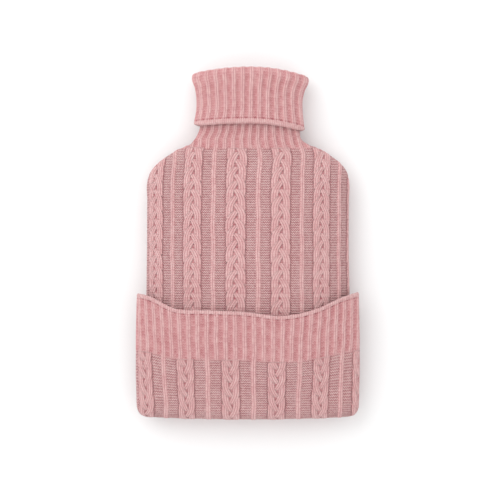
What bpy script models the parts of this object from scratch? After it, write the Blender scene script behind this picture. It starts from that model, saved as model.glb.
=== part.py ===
"""A knitted hot water bottle cover lying on its back: two knitted panels joined down the sides.

+X is across the cover, +Y runs up to the collar and +Z is up, away from the surface that it lies on.
The origin is under the middle of the cover, on that surface.

Each panel is one long strip of knitting. From its first row to its last it goes up the turned-down
collar, over the collar's fold, down the neck, over the shoulder and down the body. At the foot the
front panel folds back up on itself, and the back panel wraps round the foot and over it as the cuff.
"""

import math
from collections import namedtuple

import bmesh
import bpy
import numpy as np
from mathutils import Vector

MM = 0.001

# Knitting
CLOTH = 2.4 * MM  # thickness of the ground between the ribs and cables
LAYER_GAP = 0.9 * MM  # between two layers that lie on each other
SEAM_GAP = 0.4 * MM  # between the edges of the two panels
RIB_RAISE = 1.3 * MM
HEM_RAISE = 1.0 * MM
LAYER = CLOTH + LAYER_GAP

# One pattern repeat is 20 stitches, counted here in wales of two stitches: a narrow rib, purl
# ground, a three-strand plait and purl ground. The ribbing has five ribs in the same 20 stitches.
REPEAT = 10
RIBBING_WALES = (0, 1, 2, 3, 4, 5, 6, 7, 8, 9)
CABLE_WALES = (0, 0.75, 2.75, 3.35, 4.2, 5, 5.8, 6.65, 7.25, 9.25)
PLAIT_MIDDLE = 5
PLAIT_COLUMNS = range(3, 8)
COLLAR_WALES = 28  # in one panel, from seam to seam
NECK_WALE = 3.9 * MM  # width of a wale where the neck opens into the body
BODY_WALE = 4.4 * MM
CUFF_WALE = 4.65 * MM
PATTERN_MIDDLE = {"front": -2.3, "back": -1.3}  # the wale at the middle of each panel
CROWDING = {"front": 0.13, "back": 0.06}  # share of wales added out to CROWDED_AT, towards the seams
CROWDED_AT = 100 * MM

# Plait: three strands that cross left over middle, then right over middle
PLAIT_PITCH = 14.3 * MM
STRAND_SWING = 6.3 * MM
STRAND_HALF_WIDTH = 3.9 * MM
STRAND_DOME = 1.3 * MM
STRAND_LIFT = 1.1 * MM
PLAIT_BASE = 0.4 * MM
CROSSING = PLAIT_PITCH / 2
CYCLE = 6  # crossings in which a strand swings across and back

# Lengthwise places, as Y
NECK_ROOT = 99.5 * MM
FANNED_OUT = 86 * MM  # where the neck's ribs stop spreading
RIBBING_END = 91.15 * MM  # where the neck's ribbing turns into cables
SHOULDER_END = 62 * MM
CUFF_COVERS = -76 * MM  # below this the cuff hides the front panel
FOOT_START = -157.5 * MM  # where the sides start to round into the foot
RIBBING_STEP = 4.2 * MM  # between rows of the neck's ribbing over the shoulder
HIDDEN_STEP = 20 * MM  # between rows that nothing shows of

# Foot, which the back panel wraps round
FOOT_REACH = 10.2 * MM
FOOT_CORNER = 13 * MM
FOOT_BOW = 2.6 * MM  # how much further down the middle of the foot's edge lies than its ends
FOOT_SQUARE = 16  # 2 would round the foot's edge all along, and more leaves only its corners round
FOOT_DEGREES = (-78, -54, -30, -8, 14, 36, 58, 80)  # its rows, from the back round to the front
FRONT_DEGREES = (64, 36)  # the front panel's rows on the foot, before its fold
FOLD_ROW = 5  # the row of the foot that the front panel comes out of its fold at
FOLD_TUCK = 0.93  # how far across the foot the layer inside the cuff reaches at its fold
CUFF_TUCK = 0.965  # and how far from there up
CUFF_SLACK = 0.3 * MM  # between the cuff's two layers and the front panel at the foot
FOLD_DEGREES = (40, 90, 140)  # rows of the front panel's fold
COLLAR_FOLD_DEGREES = (45, 90, 135, 180)  # rows of the collar's fold

# Outline and depth of the cover as it lies, in millimetres. x_left and x_right are its outline,
# y_left, y_mid and y_right where a row of knitting lies, side its height at the seams, and front
# and back how far the middle of the cloth rises and drops from that height.
Section = namedtuple("Section", "y_left y_mid y_right x_left x_right side front back")
COLLAR_SECTIONS = (  # the turned-down layer, from its hem up to the fold
    Section(113.2, 115.6, 107.5, -53.4, 56.4, 19.5, 17.6, 17.6),
    Section(116.8, 119.2, 111.3, -53.4, 56.0, 19.5, 17.5, 17.5),
    Section(125.5, 127.5, 121.5, -51.6, 54.6, 19.5, 16.8, 16.8),
    Section(140.0, 143.0, 138.0, -51.0, 54.0, 19.5, 15.8, 15.8),
    Section(151.0, 157.0, 149.0, -52.6, 56.4, 19.5, 16.0, 16.0),
    Section(161.6, 167.2, 158.6, -55.4, 60.0, 19.5, 16.4, 16.4),
)
NECK_SECTIONS = (  # the layer inside the collar, down to the root of the neck
    Section(151.0, 157.0, 149.0, -47.6, 51.4, 19.5, 11.6, 11.6),
    Section(133.0, 136.0, 131.0, -46.4, 49.6, 19.5, 11.6, 11.6),
    Section(118.0, 118.0, 118.0, -46.8, 50.4, 19.5, 12.2, 12.2),
    Section(109.0, 109.0, 109.0, -48.6, 51.2, 19.5, 12.3, 12.3),
    Section(99.5, 99.5, 99.5, -53.6, 53.8, 19.4, 13.4, 13.4),
)
BODY_SECTIONS = (
    Section(94.5, 94.5, 94.5, -58.5, 60.0, 19.4, 14.0, 14.0),
    Section(90.1, 90.1, 90.1, -69.0, 71.5, 19.3, 14.6, 14.8),
    Section(85.7, 85.7, 85.7, -76.8, 79.5, 19.2, 15.2, 15.6),
    Section(81.4, 81.4, 81.4, -83.0, 85.5, 19.2, 15.8, 16.4),
    Section(74.8, 74.8, 74.8, -91.0, 93.2, 19.1, 16.8, 17.4),
    Section(68.8, 68.8, 68.8, -95.8, 97.2, 19.0, 17.7, 18.2),
    Section(62.0, 62.0, 62.0, -98.4, 99.0, 19.0, 18.5, 18.8),
    Section(40.0, 40.0, 40.0, -99.0, 99.0, 19.0, 20.0, 18.8),
    Section(0.0, 0.0, 0.0, -99.2, 98.8, 19.0, 21.0, 18.8),
    Section(-50.0, -50.0, -50.0, -99.8, 99.6, 19.0, 20.4, 18.8),
    Section(-95.0, -95.0, -95.0, -100.0, 100.0, 18.5, 18.2, 18.3),
    Section(-130.0, -130.0, -130.0, -101.0, 101.0, 17.5, 14.4, 17.3),
    Section(-157.5, -157.5, -157.5, -102.6, 102.6, 16.5, 10.6, 16.0),
)
CUFF_SECTIONS = (  # the outer layer of the cuff, from the foot up
    Section(-157.5, -157.5, -157.5, -109.4, 109.0, 21.0, 13.3, 0.0),
    Section(-130.0, -130.0, -130.0, -110.2, 109.6, 22.0, 17.7, 0.0),
    Section(-100.0, -100.0, -100.0, -109.8, 109.6, 23.0, 21.4, 0.0),
    Section(-66.0, -66.0, -66.0, -108.8, 108.6, 24.0, 24.6, 0.0),
)
FOLD_ENDS = BODY_SECTIONS[-1]._replace(x_left=-98.6, x_right=98.6, side=18.8)
FOLD_DRAWN_UP = 2.6 * MM  # how much further up the ends of the front's fold lie than its middle
CUFF_TOP = CUFF_SECTIONS[-1].y_mid * MM
HEM_X = (-112, -96, -72, -40, 0, 32, 66, 92, 112)  # millimetres
HEM_Y = (-48.2, -51.2, -62.9, -64.9, -66.7, -70.5, -63.7, -52.2, -46.2)
# Places on the cuff, as shares of the way from the foot to its hem
CUFF_RIBBING = 0.49  # where its cables turn into ribbing
CUFF_BAND = 0.965  # where the ribbing turns into the hem's band
CUFF_CABLE_STEP = 0.072
CUFF_RIBBING_STEP = 0.13

BODY_FULLNESS = 2.6  # 2 is an ellipse; more has a flatter front
NECK_FULLNESS = 2.2
PROFILE_STEPS = 120
FLOOR_SHARE = 0.36  # of the back's half width, which lies flat on the surface
SEAM_CLEAR = 0.35  # of a column, which keeps a column from crowding the seam

# Every how many columns the side of the cloth that isn't raised has a point
PLAIN_RIBBING_COLUMNS = 2
PLAIN_CABLE_COLUMNS = 3
FLAT_COLUMNS = 5  # where it lies pressed flat
TURNING_SHARE = 0.82  # from this share of the way to a seam it turns, and has them all
SHARP_FROM = math.radians(22)

KNIT_COLOUR = (0.62, 0.36, 0.35, 1.0)

# One row of knitting as it lies. place(across) gives the middle of the cloth, from -1 at the left
# seam to 1 at the right one. shown is the side of the cloth that its stitches are raised on, whole
# says whether the other side has points there too, and flat how far across it lies pressed flat.
Row = namedtuple("Row", "place half_length wale crowding stitch shown crossings whole flat")
SHOW_RIGHT, SHOW_WRONG, HIDDEN = "right", "wrong", "neither"


def blend(sections, y):
    """The section at one height, in millimetres, from the table rows on each side of it."""
    rows = sorted(sections, key=lambda section: section.y_mid)
    heights = [row.y_mid for row in rows]
    return Section(*(np.interp(y, heights, column) for column in zip(*rows)))


def between(first, second, share):
    return Section(*(a + (b - a) * share for a, b in zip(first, second)))


def steps(start, end, step):
    """Evenly spaced values from start to end, as near to step apart as fits."""
    count = max(1, round(abs(end - start) / step))
    return [start + (end - start) * i / count for i in range(count + 1)]


def cuff_hem(x):
    """Y of the cuff's upper edge at x, on a smooth curve through its points."""
    xs, ys = np.array(HEM_X) * MM, np.array(HEM_Y) * MM
    x = min(max(x, xs[0]), xs[-1])
    i = min(max(int(np.searchsorted(xs, x)) - 1, 0), len(xs) - 2)
    slopes = np.gradient(ys, xs)
    span = xs[i + 1] - xs[i]
    t = (x - xs[i]) / span
    level = ys[i] * (1 + 2 * t) * (1 - t) ** 2 + ys[i + 1] * t * t * (3 - 2 * t)
    return level + span * t * (1 - t) * (slopes[i] * (1 - t) - slopes[i + 1] * t)


def half_ring(left, right, depth, fullness):
    """(x, z) along a panel's half of a cross-section, and the distance along it to each."""
    angle = np.linspace(-math.pi / 2, math.pi / 2, PROFILE_STEPS + 1)
    across = np.sign(angle) * np.abs(np.sin(angle)) ** (2 / fullness)
    x = (left + right) / 2 + (right - left) / 2 * across
    z = depth * np.cos(angle)
    along = np.concatenate([[0], np.cumsum(np.hypot(np.diff(x), np.diff(z)))])
    return x, z, along


def lay_row(panel, section, depth, y_of, fullness=BODY_FULLNESS, wale=BODY_WALE, spread=1.0,
            inset=0.0, stitch="plain", shown=HIDDEN, crossings=0):
    """A row on a section. y_of gives its Y from x, and from how far across it is."""
    inset += (CLOTH + RIB_RAISE) / 2
    left, right = section.x_left * MM + inset, section.x_right * MM - inset
    x, z, along = half_ring(left, right, depth, fullness)
    side = section.side * MM + (SEAM_GAP / 2 if panel == "front" else -SEAM_GAP / 2)

    def place(across):
        at = (across + 1) / 2 * along[-1]
        px = float(np.interp(at, along, x))
        share = (2 * px - left - right) / (right - left)
        return Vector((px, y_of(px, share), side + float(np.interp(at, along, z))))

    crowding = CROWDING[panel] * spread
    return Row(place, along[-1] / 2, wale, crowding, stitch, shown, crossings, True, 0.0)


def collar_row(panel, section, inset=0.0, lift=0.0, stitch="ribbing", shown=HIDDEN):
    depth = section.front * MM - inset if panel == "front" else inset - section.back * MM

    def y_of(x, share):
        end = section.y_right if share > 0 else section.y_left
        return (section.y_mid + (end - section.y_mid) * share * share) * MM + lift

    row = lay_row(panel, section, depth, y_of, NECK_FULLNESS, 0.0, 0.0, inset, stitch, shown)
    return row._replace(wale=2 * row.half_length / COLLAR_WALES)


def collar_rows(panel):
    """Up the turned-down layer, over the fold and down inside it to the root of the neck."""
    hem, top = COLLAR_SECTIONS[:2], COLLAR_SECTIONS[-1]
    rows = [collar_row(panel, section, stitch="hem", shown=SHOW_WRONG) for section in hem]
    rows += [collar_row(panel, section, shown=SHOW_WRONG) for section in COLLAR_SECTIONS[2:]]
    fold = (LAYER + RIB_RAISE) / 2
    for degrees in COLLAR_FOLD_DEGREES:
        angle = math.radians(degrees)
        inset, lift = fold * (1 - math.cos(angle)), fold * math.sin(angle)
        shown = SHOW_WRONG if degrees < 135 else HIDDEN
        rows.append(collar_row(panel, top, inset, lift, shown=shown))
    rows += [collar_row(panel, section) for section in NECK_SECTIONS[:2]]
    rows += [collar_row(panel, section, shown=SHOW_RIGHT) for section in NECK_SECTIONS[2:]]
    return rows


def body_row(panel, y, stitch, shown=SHOW_RIGHT, crossings=0):
    section = blend(BODY_SECTIONS, y / MM)
    depth = section.front * MM if panel == "front" else -section.back * MM
    spread = min(1, max(0, (NECK_ROOT - y) / (NECK_ROOT - FANNED_OUT)))
    wale = NECK_WALE + (BODY_WALE - NECK_WALE) * spread
    return lay_row(
        panel, section, depth, lambda x, share: y, wale=wale, spread=spread,
        stitch=stitch, shown=shown, crossings=crossings,
    )


def body_rows(panel):
    """Over the shoulder and down the body to the start of the foot."""
    start = BODY_SECTIONS[0].y_mid * MM
    rows = [body_row(panel, y, "ribbing") for y in steps(start, RIBBING_END, RIBBING_STEP)]
    shown_to = CUFF_COVERS if panel == "front" else FOOT_START
    y, crossings = RIBBING_END - CROSSING / 2, 0
    while y > shown_to:
        row = body_row(panel, y, "cable", crossings=crossings)
        turning = y > SHOULDER_END
        flat = FLOOR_SHARE if panel == "back" and not turning else 0.0
        rows.append(row._replace(whole=crossings % (1 if turning else 2) == 0, flat=flat))
        passed = 0.5 if panel == "front" or turning else 1
        y, crossings = y - CROSSING * passed, crossings + passed
    if panel == "front":
        rows += [body_row(panel, y, "plain", HIDDEN) for y in steps(y, FOOT_START, HIDDEN_STEP)]
    return rows


def foot_row(degrees, crossings):
    """A row of the back panel on the rounded foot, which reaches furthest down at 0 degrees."""
    angle = math.radians(degrees)
    body, cuff = BODY_SECTIONS[-1], CUFF_SECTIONS[0]
    section = between(body, cuff, min(1, 1 - degrees / FOOT_DEGREES[0]))
    depth = (body.back if degrees < 0 else cuff.front) * MM * math.sin(angle)
    rounded = math.pi / 4 * math.cos(angle)
    draw_in = FOOT_CORNER * (1 - math.cos(rounded)) / MM
    section = section._replace(x_left=section.x_left + draw_in, x_right=section.x_right - draw_in)
    y_mid = FOOT_START - (FOOT_REACH + FOOT_BOW) * math.cos(angle)
    y_end = y_mid + FOOT_BOW * math.cos(angle)
    y_side = FOOT_START - FOOT_CORNER * math.sin(rounded)

    def y_of(x, share):
        return y_mid + (y_end - y_mid) * share**2 + (y_side - y_end) * share**FOOT_SQUARE

    return lay_row(
        "back", section, depth, y_of, stitch="cable", shown=SHOW_RIGHT, crossings=crossings
    )


def cuff_row(share, stitch, crossings):
    """A row of the cuff's outer layer, from 0 at the foot to 1 at its hem."""
    section = blend(CUFF_SECTIONS, (FOOT_START + share * (CUFF_TOP - FOOT_START)) / MM)
    return lay_row(
        "back", section, section.front * MM,
        lambda x, t: FOOT_START + share * (cuff_hem(x) - FOOT_START),
        wale=BODY_WALE + (CUFF_WALE - BODY_WALE) * share,
        stitch=stitch, shown=SHOW_RIGHT, crossings=crossings,
    )


def wrap_rows():
    """The back panel from the foot to the hem of the cuff."""
    foot = [foot_row(degrees, i) for i, degrees in enumerate(FOOT_DEGREES)]
    cuff = [(share, "cable") for share in steps(0, CUFF_RIBBING, CUFF_CABLE_STEP)[:-1]]
    cuff += [(share, "ribbing") for share in steps(CUFF_RIBBING, CUFF_BAND, CUFF_RIBBING_STEP)[:-1]]
    cuff += [(CUFF_BAND, "hem"), (1, "hem")]
    rows = [cuff_row(*placed, len(foot) + i) for i, placed in enumerate(cuff)]
    between_ends = [row._replace(whole=i % 2 == 0) for i, row in enumerate(rows[:-1])]
    return foot + between_ends + rows[-1:]


def tucked(rows, picked, inwards):
    """Rows that lie a set distance inside some of the back panel's."""
    found = []
    for i in picked:
        tuck = np.interp(i, (FOLD_ROW, len(FOOT_DEGREES)), (FOLD_TUCK, CUFF_TUCK))

        def place(across, i=i, tuck=tuck):
            across *= tuck
            return rows[i].place(across) - facing(rows, i, across, "back") * inwards

        row = rows[i]._replace(place=place, half_length=rows[i].half_length * tuck)
        found.append(row._replace(crowding=CROWDING["front"], stitch="plain", shown=HIDDEN))
    return found


def front_foot_row(degrees):
    """A row of the front panel on the foot, inside the two layers of the cuff."""
    angle = math.radians(degrees)
    cuff = CUFF_SECTIONS[0]
    share = (90 - degrees) / (90 - FRONT_DEGREES[-1])
    section = between(BODY_SECTIONS[-1], FOLD_ENDS, share)
    inwards = 2 * LAYER + CUFF_SLACK
    height = (cuff.front * MM - inwards) * math.sin(angle)
    y = FOOT_START - (FOOT_REACH + FOOT_BOW - inwards) * math.cos(angle)
    return lay_row(
        "front", section, (cuff.side - section.side) * MM + height,
        lambda x, t: y + FOLD_DRAWN_UP * math.cos(angle) * t**4, NECK_FULLNESS,
    )


def turned_back_rows():
    """The front panel from the foot, where it folds back on itself, to the hem inside the cuff."""
    wrap = wrap_rows()
    foot_end = len(FOOT_DEGREES)
    picked = [*range(FOLD_ROW, foot_end), *range(foot_end, len(wrap) - 2, 2), len(wrap) - 1]
    inner = [front_foot_row(degrees) for degrees in FRONT_DEGREES]
    outer = tucked(wrap, picked, LAYER)
    fold = []
    for degrees in FOLD_DEGREES:
        angle = math.radians(degrees)
        share, reach = (1 - math.cos(angle)) / 2, LAYER / 2 * math.sin(angle)

        def place(across, share=share, reach=reach):
            start, end = inner[-1].place(across), outer[0].place(across)
            sideways = tangent(outer[0], across)
            return start.lerp(end, share) + sideways.cross(end - start).normalized() * reach

        fold.append(outer[0]._replace(place=place, shown=SHOW_WRONG, whole=degrees == 90))
    return inner + fold + outer


def panel_rows(panel):
    end = turned_back_rows() if panel == "front" else wrap_rows()
    return collar_rows(panel) + body_rows(panel) + end


def plait_height(across, crossings):
    """Height of a plait's three strands above the ground, at a distance from its middle."""
    highest = 0.0
    for strand in range(3):
        angle = 2 * math.pi * (crossings / CYCLE + strand / 3)
        off = (across - STRAND_SWING * math.sin(angle)) / STRAND_HALF_WIDTH
        if abs(off) < 1:
            dome = STRAND_DOME * math.sqrt(1 - off * off)
            highest = max(highest, PLAIT_BASE + dome + STRAND_LIFT * math.sin(2 * angle))
    return highest


def stitch_height(row, column):
    """How far the cloth's shown side is raised at a column of the pattern."""
    if row.stitch == "hem":
        return HEM_RAISE
    if column != int(column):  # at a seam
        return 0.0
    within = int(column) % REPEAT
    if row.stitch == "cable" and within in PLAIT_COLUMNS:
        return plait_height((CABLE_WALES[within] - PLAIT_MIDDLE) * BODY_WALE, row.crossings)
    in_rib = within == 0 or (row.stitch == "ribbing" and within % 2 == 0)
    return RIB_RAISE if in_rib else 0.0


def column_step(row, share, fine):
    """Every how many columns a row has a point, at a share of the way from its middle."""
    if share < row.flat:
        return FLAT_COLUMNS
    if fine or share > TURNING_SHARE:
        return 1
    return PLAIN_RIBBING_COLUMNS if row.stitch == "ribbing" else PLAIN_CABLE_COLUMNS


def across_of(wales, row):
    """How far across a row its wales lie, counted from its middle."""
    across = np.linspace(-1.5, 1.5, 301)
    out = across * row.half_length
    return np.interp(wales, out / row.wale * (1 + row.crowding * (out / CROWDED_AT) ** 2), across)


def columns_of(row, panel, fine):
    """(column, how far across) of the points on a row, from seam to seam."""
    offsets = CABLE_WALES if row.stitch == "cable" else RIBBING_WALES
    numbers = np.arange(-4 * REPEAT, 4 * REPEAT)
    wales = np.array([n // REPEAT * REPEAT + offsets[n % REPEAT] for n in numbers])
    places = across_of(wales - PATTERN_MIDDLE[panel], row)
    left, right = np.interp((-1, 1), places, numbers)
    found = [(float(left), -1.0)]
    for number, place in zip(numbers, places):
        picked = number % column_step(row, abs(place), fine) == 0
        if left + SEAM_CLEAR < number < right - SEAM_CLEAR and picked:
            found.append((float(number), float(place)))
    return found + [(float(right), 1.0)]


def tangent(row, across):
    """From left to right along a row."""
    reach = 0.004
    return row.place(min(1, across + reach)) - row.place(max(-1, across - reach))


def facing(rows, i, across, panel):
    """The way that the knitting's right side faces on row i."""
    before, after = rows[max(0, i - 1)], rows[min(len(rows) - 1, i + 1)]
    along = after.place(across) - before.place(across)
    normal = along.cross(tangent(rows[i], across)) * (1 if panel == "front" else -1)
    if abs(across) == 1:
        normal.z = 0
    return normal.normalized()


def pressed(middle, out, height):
    """The point at a height out from the middle of the cloth, or on the surface if that is nearer."""
    if out.z < 0:
        height = min(height, middle.z / -out.z)
    return middle + out * height


def knit_side(mesh, rows, panel, side):
    """One side of the cloth, as a list of (row number, its points as (column, vertex))."""
    lines = []
    for i, row in enumerate(rows):
        fine = row.shown == side
        if not (fine or row.whole):
            continue
        line = []
        for column, across in columns_of(row, panel, fine):
            raised = stitch_height(row, column) if fine and abs(across) >= row.flat else 0.0
            out = facing(rows, i, across, panel) * (1 if side == SHOW_RIGHT else -1)
            line.append((column, mesh.verts.new(pressed(row.place(across), out, CLOTH / 2 + raised))))
        lines.append((i, line))
    return lines


def join_lines(mesh, first, second):
    """Faces between two lines of (column, vertex), which need not have the same columns."""
    i, j = 0, 0
    same = 0.3
    while i < len(first) - 1 or j < len(second) - 1:
        a = first[i + 1][0] if i < len(first) - 1 else math.inf
        b = second[j + 1][0] if j < len(second) - 1 else math.inf
        at_end = i == len(first) - 2 and j == len(second) - 2
        if at_end or abs(a - b) < same:
            corners = (first[i][1], first[i + 1][1], second[j + 1][1], second[j][1])
            i, j = i + 1, j + 1
        elif a < b:
            corners = (first[i][1], first[i + 1][1], second[j][1])
            i += 1
        else:
            corners = (first[i][1], second[j + 1][1], second[j][1])
            j += 1
        mesh.faces.new(corners)


def knit_panel(panel, material):
    """One panel as a closed solid: its two sides, its two hems and its two seam edges."""
    rows = panel_rows(panel)
    mesh = bmesh.new()
    sides = [knit_side(mesh, rows, panel, side) for side in (SHOW_RIGHT, SHOW_WRONG)]
    for lines in sides:
        for (_, first), (_, second) in zip(lines, lines[1:]):
            join_lines(mesh, first, second)
    for end in (0, -1):
        join_lines(mesh, sides[0][end][1], sides[1][end][1])
        join_lines(mesh, *[[(i, line[end][1]) for i, line in lines] for lines in sides])
    bmesh.ops.recalc_face_normals(mesh, faces=mesh.faces)
    data = bpy.data.meshes.new(panel + "_panel")
    mesh.to_mesh(data)
    mesh.free()
    data.materials.append(material)
    data.shade_smooth()
    data.set_sharp_from_angle(angle=SHARP_FROM)
    thing = bpy.data.objects.new(panel + "_panel", data)
    bpy.context.scene.collection.objects.link(thing)


def knit_material():
    material = bpy.data.materials.new("pink_knit")
    material.use_nodes = True
    shader = material.node_tree.nodes["Principled BSDF"]
    shader.inputs["Base Color"].default_value = KNIT_COLOUR
    shader.inputs["Roughness"].default_value = 0.9
    shader.inputs["Metallic"].default_value = 0.0
    return material


def main():
    for thing in list(bpy.data.objects):
        bpy.data.objects.remove(thing)
    material = knit_material()
    for panel in ("front", "back"):
        knit_panel(panel, material)


main()
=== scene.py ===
import math
from collections import namedtuple

import bmesh
import bpy
import numpy as np
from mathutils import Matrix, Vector


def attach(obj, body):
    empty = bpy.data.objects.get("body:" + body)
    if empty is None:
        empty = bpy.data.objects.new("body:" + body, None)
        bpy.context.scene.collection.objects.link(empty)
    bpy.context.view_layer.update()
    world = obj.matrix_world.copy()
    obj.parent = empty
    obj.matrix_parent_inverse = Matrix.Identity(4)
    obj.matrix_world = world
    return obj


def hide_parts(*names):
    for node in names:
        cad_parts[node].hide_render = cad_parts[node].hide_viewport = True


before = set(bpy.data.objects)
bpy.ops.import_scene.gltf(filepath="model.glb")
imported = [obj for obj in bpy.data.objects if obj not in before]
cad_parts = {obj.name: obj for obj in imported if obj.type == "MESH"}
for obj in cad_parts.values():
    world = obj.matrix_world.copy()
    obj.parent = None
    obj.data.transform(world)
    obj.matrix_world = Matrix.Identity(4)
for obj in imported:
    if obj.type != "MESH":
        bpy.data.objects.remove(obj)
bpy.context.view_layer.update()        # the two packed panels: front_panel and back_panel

print("frame loaded:", sorted(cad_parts))

# Lengths are in millimetres until a mesh is written. x runs across the cover, y up to the
# collar and z up from the floor, as in the frame.
mm = 0.001
lanes = 401              # points that one row of the cloth's middle is worked out at
across = np.linspace(-1, 1, lanes)   # from the left seam to the right one

cloth = {
    "thick": 2.4,        # of the ground between ribs and cables
    "layer": 3.3,        # from the middle of one layer to the middle of the next
    "seamGap": 0.4,      # between the two panels
    "edgeInset": 1.85,   # from the outline to the middle of the cloth at a seam
    "rowHeight": 2.45,   # of one row of stitches
    "seamRound": 1.6,    # how near a seam the cloth starts to thin
    "seamLeft": 0.25,    # the share of its thickness that is left there
    "reliefFade": 6.0,   # how far from a seam its ribs and plaits start to flatten
    "crowding": {"front": 0.13, "back": 0.06},   # share of stitches added out to crowdedAt
    "crowdedAt": 100,    # from the middle
    "slopeReach": 0.4,   # how far along a strip its slope is read over, each way
    "hiddenAcross": 8,   # the hidden side keeps each eighth column of points
    "hiddenAlong": 6,    # and each sixth row of them
    "endClear": 0.1,     # rows of points keep this far from a piece's ends
}


def smooth(share):
    share = np.clip(share, 0, 1)
    return share * share * (3 - 2 * share)


def curveThrough(values, knots, at):
    # A smooth curve through the values at the knots, read at other places.
    values, knots, at = np.asarray(values, float), np.asarray(knots, float), np.asarray(at, float)
    slopes = np.gradient(values, knots, axis=0)
    i = np.clip(np.searchsorted(knots, at) - 1, 0, len(knots) - 2)
    shape = at.shape + (1,) * (values.ndim - 1)
    span = (knots[i + 1] - knots[i]).reshape(shape)
    f = (at - knots[i]).reshape(shape) / span
    level = values[i] * (1 + 2 * f) * (1 - f) ** 2 + values[i + 1] * f * f * (3 - 2 * f)
    return level + span * f * (1 - f) * (slopes[i] * (1 - f) - slopes[i + 1] * f)


# xLeft and xRight are the outline, yLeft, yMid and yRight where a row lies, side its height at
# the seams, front and back how far its middle rises and drops from there.
section = namedtuple("section", "yLeft yMid yRight xLeft xRight side front back")


def levelSection(y, xLeft, xRight, side, front, back):
    return section(y, y, y, xLeft, xRight, side, front, back)


def blendSections(sections, y):
    rows = sorted(sections, key=lambda row: row.yMid)
    heights = [row.yMid for row in rows]
    return section(*(float(np.interp(y, heights, column)) for column in zip(*rows)))


def mixSections(first, second, share):
    return section(*(a + (b - a) * share for a, b in zip(first, second)))


def layRow(panel, sec, depth, yOf, fullness, inset=0.0, wale=0.0, spread=1.0, name=""):
    # A row's points, half its length, the width of its wales of two stitches, and how much closer
    # together they lie towards the seams.
    inset += cloth["edgeInset"]
    left, right = sec.xLeft + inset, sec.xRight - inset
    turn = np.linspace(-np.pi / 2, np.pi / 2, 2 * lanes)
    x = (left + right) / 2 + (right - left) / 2 * np.sign(turn) * np.abs(np.sin(turn)) ** (2 / fullness)
    z = depth * np.cos(turn)
    along = np.concatenate([[0], np.cumsum(np.hypot(np.diff(x), np.diff(z)))])
    even = np.linspace(0, along[-1], lanes)
    x, z = np.interp(even, along, x), np.interp(even, along, z)
    share = (2 * x - left - right) / (right - left)
    side = sec.side + cloth["seamGap"] / 2 * (1 if panel == "front" else -1)
    points = np.stack([x, yOf(x, share), side + z], axis=1)
    crowding = cloth["crowding"][panel] * spread
    return {"points": points, "half": along[-1] / 2, "wale": wale, "crowding": crowding, "name": name}


collar = {
    "wales": 28,             # in one panel
    "fullness": 2.2,
    "foldRadius": 2.3,
    "foldDegrees": (30, 60, 90, 120, 150, 180),
    "hemBand": 5.0,          # width of the rolled hem
    "hemRaise": 1.0,
    "hemCorner": 2.6,        # how far its ends turn up
    "hemSquare": 20,         # a high power turns up only its very ends
    "foldFlat": 0.9,         # how much of its ribs' height is lost round the fold
    "foldFlatReach": 6,      # and how far from there
    "turnedDown": (          # from its hem up to the fold
        section(113.2, 115.6, 107.5, -53.4, 56.4, 19.5, 17.6, 17.6),
        section(116.8, 119.2, 111.3, -53.4, 56.0, 19.5, 17.5, 17.5),
        section(125.5, 127.5, 121.5, -51.6, 54.6, 19.5, 16.8, 16.8),
        section(140.0, 143.0, 138.0, -51.0, 54.0, 19.5, 15.8, 15.8),
        section(151.0, 157.0, 149.0, -52.6, 56.4, 19.5, 16.0, 16.0),
        section(161.6, 167.2, 158.6, -55.4, 60.0, 19.5, 16.4, 16.4),
    ),
    "inside": (              # from the fold down to the root of the neck
        section(151.0, 157.0, 149.0, -47.6, 51.4, 19.5, 11.6, 11.6),
        section(133.0, 136.0, 131.0, -46.4, 49.6, 19.5, 11.6, 11.6),
        section(118.0, 118.0, 118.0, -46.8, 50.4, 19.5, 12.2, 12.2),
        section(109.0, 109.0, 109.0, -48.6, 51.2, 19.5, 12.3, 12.3),
        section(99.5, 99.5, 99.5, -53.6, 53.8, 19.4, 13.4, 13.4),
    ),
}


def collarRow(panel, sec, inset=0.0, lift=0.0, rounded=0.0):
    depth = sec.front - inset if panel == "front" else inset - sec.back

    def yOf(x, share):
        end = np.where(share > 0, sec.yRight, sec.yLeft)
        return sec.yMid + (end - sec.yMid) * share**2 + lift + rounded * share ** collar["hemSquare"]

    row = layRow(panel, sec, depth, yOf, collar["fullness"], inset, spread=0)
    row["wale"] = 2 * row["half"] / collar["wales"]
    return row


def collarRows(panel):
    # Up the turned-down layer, over its fold and down inside it to the root of the neck.
    rows = [collarRow(panel, sec) for sec in collar["turnedDown"]]
    rows[0] = collarRow(panel, collar["turnedDown"][0], rounded=collar["hemCorner"])
    rows[0]["name"], rows[-1]["name"] = "collarHem", "collarTop"
    for degrees in collar["foldDegrees"]:
        angle = math.radians(degrees)
        inset, lift = collar["foldRadius"] * (1 - math.cos(angle)), collar["foldRadius"] * math.sin(angle)
        rows.append(collarRow(panel, collar["turnedDown"][-1], inset, lift))
    inside = [collarRow(panel, sec) for sec in collar["inside"]]
    inside[1]["name"] = "underCollar"
    return rows + inside


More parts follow.
